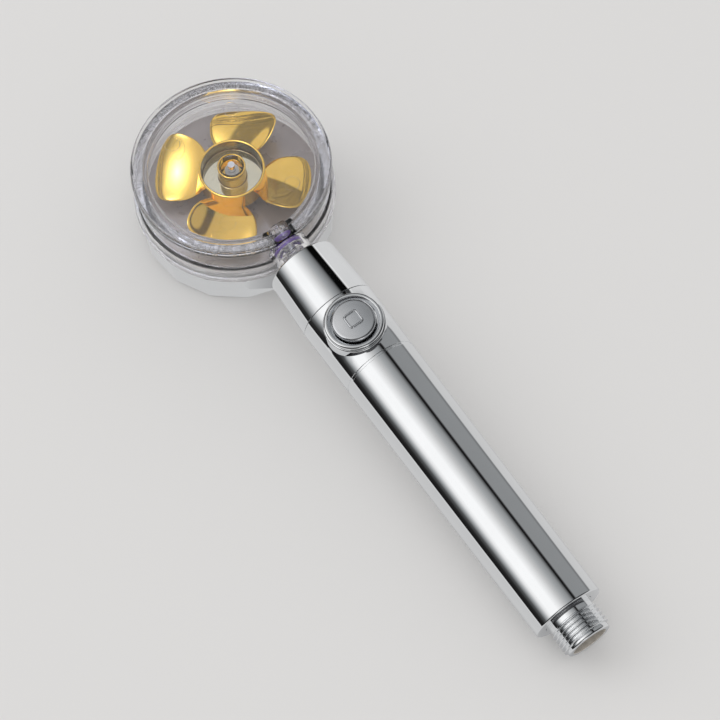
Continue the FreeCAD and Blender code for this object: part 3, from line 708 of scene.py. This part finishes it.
class SHOWER_OT_nozzle(bpy.types.Operator):
    """Ribbed clear inlet nozzle and its violet seals"""
    bl_idname = "shower.nozzle"
    bl_label = "Inlet nozzle"
    bl_options = {"REGISTER", "UNDO"}

    def execute(self, context):
        piece("inlet_nozzle_clear", cad_copy("inlet_nozzle"), "head", finish_of("clear_nozzle"),
              ["inlet_nozzle"])
        piece("nozzle_seals_violet", cad_copy("nozzle_seals"), "head", finish_of("violet"),
              ["nozzle_seals"])
        return {"FINISHED"}


class SHOWER_OT_face_ring(bpy.types.Operator):
    """Chrome face ring with flat sides and eased edges"""
    bl_idname = "shower.face_ring"
    bl_label = "Face ring"
    bl_options = {"REGISTER", "UNDO"}

    def execute(self, context):
        sides, start = 16, math.radians(-4.6)
        step = 2 * math.pi / sides

        def flats(along, turn, radius):
            if radius < 40.0:
                return radius
            bend = (turn - start) % step - step / 2
            return min(radius / math.cos(bend), radius / math.cos(step / 2) - 0.12)

        shape = lathe([
            (-32.5, 36.9), (-31.5, 35.9), (-30.9, 35.9), (-30.9, 38.5), (-15.9, 38.5), (-15.9, 42.0, 0.4),
            (-32.5, 41.4, 0.5)], sides * 20, "Z", flats)
        piece("face_ring_chrome", shape, "head", finish_of("ring_chrome"), ["face_ring"], HEAD,
              sharp=8.0)
        return {"FINISHED"}


def fan_tree():
    """Blades that grow around the hub: rounded paddles with a curl, evenly spaced."""
    tree, entry, leave, size = new_tree("Fan blades", {
        "Blades": "Int", "Turn": "Float", "Root": "Float", "Tip": "Float", "Width": "Float", "Level": "Float",
        "Slope": "Float", "Curl": "Float", "Droop": "Float", "Thickness": "Float", "Finish": "Material"})
    cells = 44
    grid = add(tree, "GeometryNodeMeshGrid", Size_X=2.0, Size_Y=2.0, Vertices_X=cells, Vertices_Y=cells)
    spot = add(tree, "ShaderNodeSeparateXYZ", Vector=add(tree, "GeometryNodeInputPosition").outputs[0])
    u, v = Field(tree, spot.outputs[0]), Field(tree, spot.outputs[1])
    # the square grid is drawn round, with its outer cells packed towards the edge
    flat_x = u * (v * v * -0.5 + 1.0) ** 0.5
    flat_y = v * (u * u * -0.5 + 1.0) ** 0.5
    reach = (flat_x * flat_x + flat_y * flat_y) ** 0.5
    packed = (reach * -1.0 + 1.0).math("MAXIMUM", 0.0) ** 1.7 * -1.0 + 1.0
    # the outline is a petal: squarer than a ring, and narrower towards the hub
    square = (flat_x.math("ABSOLUTE") ** 2.5 + flat_y.math("ABSOLUTE") ** 2.5) ** 0.4
    grow = packed / square.math("MAXIMUM", 0.001)
    centre = (size["Tip"] + size["Root"]) * 0.5
    share = flat_x * grow
    along = centre + share * (size["Tip"] - size["Root"]) * 0.5
    side = flat_y * grow * (share * 0.14 + 0.86) * size["Width"] * 0.5
    # a blade starts at the hub, and its tip follows the round chamber
    away = (along * along + side * side) ** 0.5
    out = (size["Root"] + 0.0023).math("MAXIMUM", away.math("SMOOTH_MIN", size["Tip"], 0.003)) / away
    inward = centre - along
    height = size["Level"] - side * size["Slope"] + side * side * size["Curl"]
    height = height - inward * inward * size["Droop"]
    half = (packed ** 12.0 * -1.0 + 1.0).math("MAXIMUM", 0.0) ** 0.5 * size["Thickness"] * 0.5
    sides = []
    for sign in (1.0, -1.0):
        point = add(tree, "ShaderNodeCombineXYZ", X=along * out, Y=side * out, Z=height + half * sign)
        placed = add(tree, "GeometryNodeSetPosition", Geometry=grid.outputs[0], Position=point.outputs[0])
        shell = placed.outputs[0]
        if sign < 0:
            shell = add(tree, "GeometryNodeFlipFaces", Mesh=shell).outputs[0]
        sides.append(shell)
    closed = add(tree, "GeometryNodeMergeByDistance", Geometry=join_shells(tree, sides), Distance=0.000002)
    centred = add(tree, "GeometryNodeMeshLine", Count=size["Blades"], Offset=(0.0, 0.0, 0.0))
    index = Field(tree, add(tree, "GeometryNodeInputIndex").outputs[0])
    angle = index * (2 * math.pi) / size["Blades"] + size["Turn"]
    turn = add(tree, "ShaderNodeCombineXYZ", Z=angle)
    spread = add(tree, "GeometryNodeInstanceOnPoints", Points=centred.outputs[0], Instance=closed.outputs[0])
    tree.links.new(turn.outputs[0], spread.inputs["Rotation"])
    real = add(tree, "GeometryNodeRealizeInstances", Geometry=spread.outputs[0])
    fan = join_shells(tree, (entry.outputs["Geometry"], real.outputs[0]))
    return close_tree(tree, fan, size["Finish"], leave)


class SHOWER_OT_fan(bpy.types.Operator):
    """Gold fan: a cup-shaped hub with a centre tube and curled blades"""
    bl_idname = "shower.fan"
    bl_label = "Fan"
    bl_options = {"REGISTER", "UNDO"}

    def execute(self, context):
        sizes = context.scene.shower_sizes
        hub = sizes.hub_radius / MM
        hub_inside = hub - 1.2
        low, high, floor, under = -5.7, 4.3, -2.3, -3.5
        tube, tube_inside, tube_top, pin_hole = 5.95, 5.15, 6.3, 3.0
        cup = lathe([
            (low, hub_inside), (low, hub, 0.4), (high, hub, 0.55), (high, hub_inside, 0.55),
            (floor, hub_inside, 0.5), (floor, tube, 0.4), (tube_top, tube, 0.35),
            (tube_top, tube_inside, 0.35), (floor, tube_inside), (floor, pin_hole), (under, pin_hole),
            (under, hub_inside, 0.3)], 160, "Z")
        gold = finish_of("gold")
        fan = grown(cup, fan_tree(), {
            "Blades": sizes.blade_count, "Turn": sizes.blade_turn, "Root": 0.0107, "Tip": sizes.blade_tip,
            "Width": sizes.blade_width, "Level": -0.003, "Slope": sizes.blade_slope, "Curl": 10.0,
            "Droop": 9.0, "Thickness": sizes.blade_thickness, "Finish": gold})
        piece("fan_gold", fan, "fan", gold, ["fan_rotor"], HEAD)
        return {"FINISHED"}


class SHOWER_OT_neck_nut(bpy.types.Operator):
    """Tapered chrome nut that holds the head's neck"""
    bl_idname = "shower.neck_nut"
    bl_label = "Neck nut"
    bl_options = {"REGISTER", "UNDO"}

    def execute(self, context):
        sizes = context.scene.shower_sizes
        front, joint = sizes.nut_front / MM, sizes.joint / MM
        shape = lathe([
            (-26.2, 8.9, 0.3), (-20.2, 8.9), (-20.2, 12.0), (-13.5, 12.0), (-13.5, 13.0), (-0.1, 13.0),
            (-0.1, joint, 0.15), (-26.2, front, 1.0)], 256)
        piece("neck_nut_chrome", shape, "handle", finish_of("chrome"), ["neck_nut"], HANDLE)
        return {"FINISHED"}


class SHOWER_OT_valve_body(bpy.types.Operator):
    """Chrome valve body with the boss that carries the push valve"""
    bl_idname = "shower.valve_body"
    bl_label = "Valve body"
    bl_options = {"REGISTER", "UNDO"}

    def execute(self, context):
        piece("valve_body_chrome", cad_copy("valve_body"), "handle", finish_of("chrome"),
              ["valve_body"])
        piece("joint_ring_chrome", cad_copy("joint_ring"), "handle", finish_of("chrome"),
              ["joint_ring"])
        return {"FINISHED"}


def stop_mark_tree():
    """Half-round raised square that lies on the button's dome."""
    tree, entry, leave, size = new_tree("Stop mark", {
        "Width": "Float", "Line": "Float", "Top": "Float", "Dome": "Float", "Finish": "Material"})
    width = size["Width"]
    square = add(tree, "GeometryNodeCurvePrimitiveQuadrilateral", Width=width, Height=width)
    bent = add(tree, "GeometryNodeFilletCurve", {"mode": "POLY"}, Curve=square.outputs[0], Count=8,
               Radius=width * 0.2)
    fine = add(tree, "GeometryNodeResampleCurve", Curve=bent.outputs[0], Count=96)
    spot = add(tree, "GeometryNodeInputPosition")
    level = add(tree, "ShaderNodeVectorMath", {"operation": "DOT_PRODUCT"})
    tree.links.new(spot.outputs[0], level.inputs[0])
    tree.links.new(spot.outputs[0], level.inputs[1])
    drop = Field(tree, level.outputs["Value"]) / size["Dome"] * 0.5
    lift = add(tree, "ShaderNodeCombineXYZ", Z=size["Top"] - drop - size["Line"] * 0.18)
    raised = add(tree, "GeometryNodeSetPosition", Geometry=fine.outputs[0], Offset=lift.outputs[0])
    line = add(tree, "GeometryNodeCurvePrimitiveCircle", Resolution=20, Radius=size["Line"])
    ridge = add(tree, "GeometryNodeCurveToMesh", Curve=raised.outputs[0], Profile_Curve=line.outputs[0])
    button = join_shells(tree, (entry.outputs["Geometry"], ridge.outputs[0]))
    return close_tree(tree, button, size["Finish"], leave)


class SHOWER_OT_push_valve(bpy.types.Operator):
    """Stop button, its bright ring and the rear button"""
    bl_idname = "shower.push_valve"
    bl_label = "Push valve"
    bl_options = {"REGISTER", "UNDO"}

    def execute(self, context):
        sizes = context.scene.shower_sizes
        edge = sizes.button_radius / MM
        bore, rim, foot, crest = edge + 0.4, edge + 3.1, 18.2, 20.6
        bezel = lathe([
            (foot, bore), (foot, rim), (crest, rim, 0.9), (crest, edge + 1.6, 0.5),
            (19.3, bore, 0.3)], 192, "Z")
        piece("button_bezel_bright", bezel, "handle", finish_of("chrome"),
              ["button_bezel"], BUTTON)
        top, dome = sizes.button_top / MM, sizes.button_dome / MM
        stem, stem_end, under, steps = 2.2, 11.6, 17.2, 7
        crown = []
        for step in range(steps + 1):
            radius = (edge - 1.5) * (1 - step / steps)
            crown.append((top - dome + math.sqrt(dome * dome - radius * radius), radius))
        blank = lathe([
            (stem_end, 0.0), (stem_end, stem, 0.2), (under, stem), (under, edge, 0.3),
            (top - 0.62, edge, 1.1)] + crown, 192, "Z")
        satin = finish_of("satin")
        button = grown(blank, stop_mark_tree(), {
            "Width": sizes.mark_size, "Line": sizes.mark_line / 2, "Top": sizes.button_top,
            "Dome": sizes.button_dome, "Finish": satin})
        piece("stop_button_satin", button, "push_valve", satin, ["stop_button"], BUTTON)
        piece("reset_button_satin", cad_copy("reset_button"), "push_valve", satin,
              ["reset_button"])
        return {"FINISHED"}


class SHOWER_OT_grip(bpy.types.Operator):
    """Tapered chrome grip"""
    bl_idname = "shower.grip"
    bl_label = "Grip"
    bl_options = {"REGISTER", "UNDO"}

    def execute(self, context):
        sizes = context.scene.shower_sizes
        start, end = 31.0, 31.0 + sizes.grip_length / MM
        shape = lathe([
            (start, 13.0), (41.4, 13.0), (41.4, 12.6), (end - 3.0, 12.6), (end - 3.0, 10.56),
            (end, 10.56, 0.3),
            (end, sizes.grip_end / MM, 0.8), (start, sizes.grip_front / MM, 0.15)], 256)
        piece("grip_chrome", shape, "handle", finish_of("chrome"), ["grip"], HANDLE)
        return {"FINISHED"}


class SHOWER_OT_hose_spigot(bpy.types.Operator):
    """Threaded hose end with its bore"""
    bl_idname = "shower.hose_spigot"
    bl_label = "Hose spigot"
    bl_options = {"REGISTER", "UNDO"}

    def execute(self, context):
        sizes = context.scene.shower_sizes
        crest, pitch = sizes.thread_radius / MM, sizes.thread_pitch / MM
        depth, start, end = 1.162, 158.2, 166.9

        def thread(along, turn, radius):
            if not start - 0.61 < along < end + 0.01 or radius < 9.6:
                return radius
            phase = ((along - start) / pitch - turn / (2 * math.pi)) % 1.0
            slope = min(1.0, max(0.0, 1.22 - 2.6 * abs(phase - 0.5)))
            groove = depth * slope * slope * (3 - 2 * slope)
            fade = min(1.0, max(0.0, (along - start + 0.6) / 0.6))
            tip = min(1.0, max(0.0, (end - along) / 0.5))
            top = 9.5 + (crest - 9.5) * tip
            return max(9.35, min(9.7 + (crest - groove - 9.7) * fade, top))

        steps = 200
        first, last = start - 0.6, end
        screw = [(last + (first - last) * i / steps, crest) for i in range(steps + 1)]
        shape = lathe([
            (143.0, 5.6), (150.0, 5.6), (150.0, 7.0), (154.4, 7.0), (154.4, 7.4), (168.2, 7.4, 0.5),
            (168.2, 9.5, 0.8), (end + 0.02, 9.5)] + screw + [
            (157.5, 9.7), (154.9, 9.7), (154.9, crest), (151.9, crest), (151.9, 12.5), (143.0, 12.5)],
            160, "X", thread)
        piece("hose_thread_plated", shape, "handle", finish_of("brass"), ["hose_spigot"],
              HANDLE, sharp=50.0)
        return {"FINISHED"}


class SHOWER_OT_inner_parts(bpy.types.Operator):
    """Finishes of the plates, bearings, seals and filter that keep their CAD shape"""
    bl_idname = "shower.inner_parts"
    bl_label = "Inner parts"
    bl_options = {"REGISTER", "UNDO"}

    def execute(self, context):
        wanted = {
            "clear_seal": ["cap_seal"], "plate": ["jet_plate"], "fibre": ["filter_cartridge"],
            "steel": ["spray_plate", "axle_pin", "thrust_washer", "inlet_screen"],
            "black": ["neck_seal", "spray_gasket", "grip_seal", "filter_seal", "spigot_seal", "spool_seals"],
            "white": ["fan_bush", "swivel_washer", "thrust_ring", "neck_clip", "valve_spool",
                      "filter_front_cap", "filter_rear_cap", "flow_limiter"]}
        for finish, nodes in wanted.items():
            for node in nodes:
                finish_node(node, finish_of(finish))
        return {"FINISHED"}


# ---- stage ----
def area_light(name, place, size, power):
    """Soft square light aimed at the origin, which isn't mirrored in the plating."""
    lamp = bpy.data.lights.new(name, "AREA")
    lamp.size = size
    lamp.energy = power
    made = bpy.data.objects.new(name, lamp)
    bpy.context.scene.collection.objects.link(made)
    made.location = place
    made.rotation_euler = (-Vector(place)).to_track_quat("-Z", "Y").to_euler()
    made.visible_glossy = False
    made.visible_transmission = False


# the cards that stand around the handle: degrees about it from the head's back, and brightness
GRIP_SIDE = (
    (-180, 0.60), (-113, 0.58), (-110, 0.80), (-108, 0.005), (-94, 0.02), (-84, 0.09), (-75, 0.38),
    (-65, 0.84), (-56, 1.02), (-33, 1.02), (-20, 0.80), (-8, 0.57), (4, 0.39), (16, 0.27), (22, 0.12),
    (25.5, 0.005), (30, 0.015), (34, 0.26), (80, 0.27), (89, 0.17), (94, 0.60), (132, 0.62), (152, 0.50),
    (165, 0.58))
HEAD_SIDE = (
    (-180, 0.60), (-113, 0.58), (-110, 0.80), (-108, 0.002), (-101, 0.02), (-94, 0.025), (-84, 0.15),
    (-75, 0.40), (-65, 0.72), (-52, 1.01), (-29, 1.01), (-14, 0.77), (-2, 0.54), (8, 0.37), (17, 0.27),
    (26, 0.16), (33, 0.002), (52, 0.002), (56, 0.85), (61, 0.68), (110, 0.68), (132, 0.64), (152, 0.54),
    (165, 0.58))

# what the gold fan mirrors from side to side, on the same scale
INSIDE = (
    (-180, 0.45), (-115, 0.45), (-112, 0.80), (-96, 0.80), (-92, 0.20), (-49, 0.22), (-40, 0.76), (54, 0.72),
    (99, 0.55), (103, 0.08), (113, 0.08), (117, 0.48), (180, 0.45))


def card_ramp(tree, angle, cards):
    node = add(tree, "ShaderNodeValToRGB", Fac=angle)
    ramp = node.color_ramp
    while len(ramp.elements) > 1:
        ramp.elements.remove(ramp.elements[0])
    for i, (degrees, level) in enumerate(cards):
        place = (degrees + 180) / 360
        stop = ramp.elements[0] if i == 0 else ramp.elements.new(place)
        stop.position = place
        # dark greys are a little cool
        cool = 1.05 if 0.05 < level < 0.5 else 1.0
        stop.color = (level, level * cool ** 0.6, level * cool, 1.0)
    return node.outputs[0]


def dots(tree, direction, axes):
    """The direction's share along each axis."""
    found = []
    for axis in axes:
        dot = add(tree, "ShaderNodeVectorMath", {"operation": "DOT_PRODUCT"})
        tree.links.new(direction, dot.inputs[0])
        dot.inputs[1].default_value = axis
        found.append(Field(tree, dot.outputs["Value"]))
    return found


def studio_world():
    """Soft boxes and dark cards around the shower head, as its plating mirrors them."""
    world = bpy.data.worlds.new("Studio")
    bpy.context.scene.world = world
    world.use_nodes = True
    tree = world.node_tree
    direction = tree.nodes.new("ShaderNodeTexCoord").outputs["Generated"]
    along, across, out = dots(tree, direction, (ALONG, ACROSS, OUT))
    angle = across.math("ARCTAN2", out) / (2 * math.pi) + 0.5
    grip_side = card_ramp(tree, angle, GRIP_SIDE)
    head_side = card_ramp(tree, angle, HEAD_SIDE)
    share = ranged(tree, along, 1.0, 0.0, -0.352, -0.332, True)
    cards = blend_colours(tree, share, grip_side, head_side)
    height = Field(tree, add(tree, "ShaderNodeSeparateXYZ", Vector=direction).outputs[2])
    above = Field(tree, ranged(tree, height, 0.0, 1.0, -0.02, 0.08, True))
    # dark cards past both ends give the rims and the thread their dark lines
    for sign, start, stop in ((1.0, 0.10, 0.80), (-1.0, 0.62, 0.92)):
        onward = along * sign
        dark = Field(tree, ranged(tree, onward, 0.0, 0.93, start, start + 0.08, True))
        dark = dark * Field(tree, ranged(tree, onward, 1.0, 0.0, stop, stop + 0.06, True)) * above
        cards = blend_colours(tree, dark, cards, (0.03, 0.03, 0.032))
    path = tree.nodes.new("ShaderNodeLightPath")
    ambient = (0.86, 0.855, 0.85)
    # the cards show only where they are seen mirrored or bent; other light comes evenly from all round
    seen_first = Field(tree, ranged(tree, path.outputs["Diffuse Depth"], 1.0, 0.0, 0.2, 0.8))
    mirrored = seen_first * Field(tree, path.outputs["Is Glossy Ray"])
    bent = seen_first * Field(tree, path.outputs["Is Transmission Ray"])
    seen = blend_colours(tree, mirrored, ambient, cards)
    seen = blend_colours(tree, bent, seen, inside_cards(tree, direction, height))
    tree.links.new(seen, tree.nodes["Background"].inputs["Color"])


def inside_cards(tree, direction, height):
    """What the gold fan mirrors and the clear walls bend into view: pale low down, with cards above."""
    axes = (Vector((-0.90, 0.434, 0.0)), Vector((0.434, 0.90, 0.0)))
    onward, sideways = dots(tree, direction, axes)
    cards = card_ramp(tree, sideways * 0.5 + 0.5, INSIDE)
    # a lamp above the near side, and a dark stretch low on the far side
    near = onward - 0.03
    beside = sideways + 0.16
    long_way = near * 0.5 + beside * 0.16
    short_way = beside * 0.95 - near * 0.3
    apart = (long_way ** 2.0 + short_way ** 2.0) ** 0.5
    lamp = Field(tree, ranged(tree, apart, 1.0, 0.0, 0.0, 0.36)) ** 3.0
    cards = blend_colours(tree, lamp, cards, (7.0, 7.5, 9.0))
    far = Field(tree, ranged(tree, onward, 0.0, 1.0, 0.77, 0.79))
    far = far * Field(tree, ranged(tree, sideways, 0.0, 1.0, -0.10, -0.07))
    cards = blend_colours(tree, far, cards, (0.15, 0.15, 0.15))
    low = ranged(tree, height, 1.0, 0.0, 0.0, 0.14, True)
    return blend_colours(tree, low, cards, (0.66, 0.65, 0.655))


def under_card():
    """Grey glowing card on the floor under the handle: painted contact shade, in place of its real contact
    shade. Only the plating mirrors it.
    """
    material = bpy.data.materials.new("Under card")
    material.use_nodes = True
    tree = material.node_tree
    tree.nodes.remove(tree.nodes["Principled BSDF"])
    spots = object_spots(tree, (1.0, 1.0, 1.0), HANDLE)
    apart = add(tree, "ShaderNodeSeparateXYZ", Vector=spots)
    sideways = Field(tree, apart.outputs[1]).math("ABSOLUTE")
    edge = Field(tree, ranged(tree, sideways, 1.0, 0.0, 0.004, 0.026, True))
    ends = Field(tree, ranged(tree, apart.outputs[0], 1.0, 0.0, 0.168, 0.195, True))
    # painted contact shade: a grey glow that the plating mirrors under and beside the handle
    grey = add(tree, "ShaderNodeEmission", Color=(0.34, 0.34, 0.345, 1.0))
    nothing = tree.nodes.new("ShaderNodeBsdfTransparent")
    mixed(tree, (edge * ends).socket, nothing.outputs[0], grey.outputs[0])
    start, end, half_width, lift = -0.04, 0.2, 0.03, 0.0003
    mesh = bmesh.new()
    corners = []
    for x, y in ((start, -half_width), (end, -half_width), (end, half_width), (start, half_width)):
        spot = HANDLE @ Vector((x, y, 0.0))
        corners.append(mesh.verts.new((spot.x, spot.y, lift)))
    mesh.faces.new(corners)
    card = linked("under_card", mesh)
    card.data.materials.append(material)
    for kind in ("camera", "diffuse", "transmission", "volume_scatter", "shadow"):
        setattr(card, "visible_" + kind, False)


class SHOWER_OT_stage(bpy.types.Operator):
    """Plain pale floor, soft studio light and the camera"""
    bl_idname = "shower.stage"
    bl_label = "Stage"
    bl_options = {"REGISTER", "UNDO"}

    def execute(self, context):
        studio = context.scene.shower_studio
        material, tree, shader = new_material("Pale floor", Base_Color=tuple(studio.floor), Roughness=0.9)
        shader.inputs["Specular IOR Level"].default_value = 0.2
        grain = noise(tree, object_spots(tree), 0.0012, 3.0)
        bump(tree, shader, grain, 0.02, 0.0001)
        mesh = bmesh.new()
        bmesh.ops.create_grid(mesh, x_segments=4, y_segments=4, size=3.0)
        floor = linked("floor", mesh)
        floor.data.materials.append(material)
        floor.visible_glossy = False
        under_card()
        studio_world()
        area_light("key", (-1.8, -1.7, 2.2), 2.4, studio.key_power)
        area_light("overhead", (0.3, 0.2, 3.0), 2.8, studio.fill_power)
        lens = bpy.data.cameras.new("camera")
        lens.lens = studio.lens
        lens.clip_start, lens.clip_end = 0.01, 20.0
        camera = bpy.data.objects.new("camera", lens)
        context.scene.collection.objects.link(camera)
        place = HANDLE @ CAMERA_PLACE
        up = HANDLE.to_3x3() @ CAMERA_UP
        back = (place - HANDLE @ CAMERA_AIM).normalized()
        right = up.cross(back).normalized()
        camera.matrix_world = seat(place, right, back.cross(right), back)
        context.scene.camera = camera
        context.scene.view_settings.view_transform = "Standard"
        return {"FINISHED"}


class SHOWER_PT_panel(bpy.types.Panel):
    """Lists the pieces of the shower head"""
    bl_idname = "SHOWER_PT_panel"
    bl_label = "Shower head"
    bl_space_type = "VIEW_3D"
    bl_region_type = "UI"
    bl_category = "Shower head"

    def draw(self, context):
        for step in STEPS:
            self.layout.operator(step.bl_idname)
        for group, settings in SETTINGS.items():
            for key in settings.__annotations__:
                self.layout.prop(getattr(context.scene, group), key)


SETTINGS = {"shower_sizes": ShowerSizes, "shower_colours": ShowerColours, "shower_studio": ShowerStudio}
STEPS = (
    SHOWER_OT_stage, SHOWER_OT_back_cap, SHOWER_OT_housing, SHOWER_OT_nozzle, SHOWER_OT_face_ring,
    SHOWER_OT_fan, SHOWER_OT_neck_nut, SHOWER_OT_valve_body, SHOWER_OT_push_valve, SHOWER_OT_grip,
    SHOWER_OT_hose_spigot, SHOWER_OT_inner_parts)


def register():
    for kind in (*SETTINGS.values(), *STEPS, SHOWER_PT_panel):
        bpy.utils.register_class(kind)
    for group, settings in SETTINGS.items():
        setattr(bpy.types.Scene, group, bpy.props.PointerProperty(type=settings))


def unregister():
    for group in SETTINGS:
        delattr(bpy.types.Scene, group)
    for kind in (SHOWER_PT_panel, *reversed(STEPS), *reversed(SETTINGS.values())):
        bpy.utils.unregister_class(kind)


def main():
    register()
    for step in STEPS:
        area, name = step.bl_idname.split(".")
        getattr(getattr(bpy.ops, area), name)()


if __name__ == "__main__":
    main()
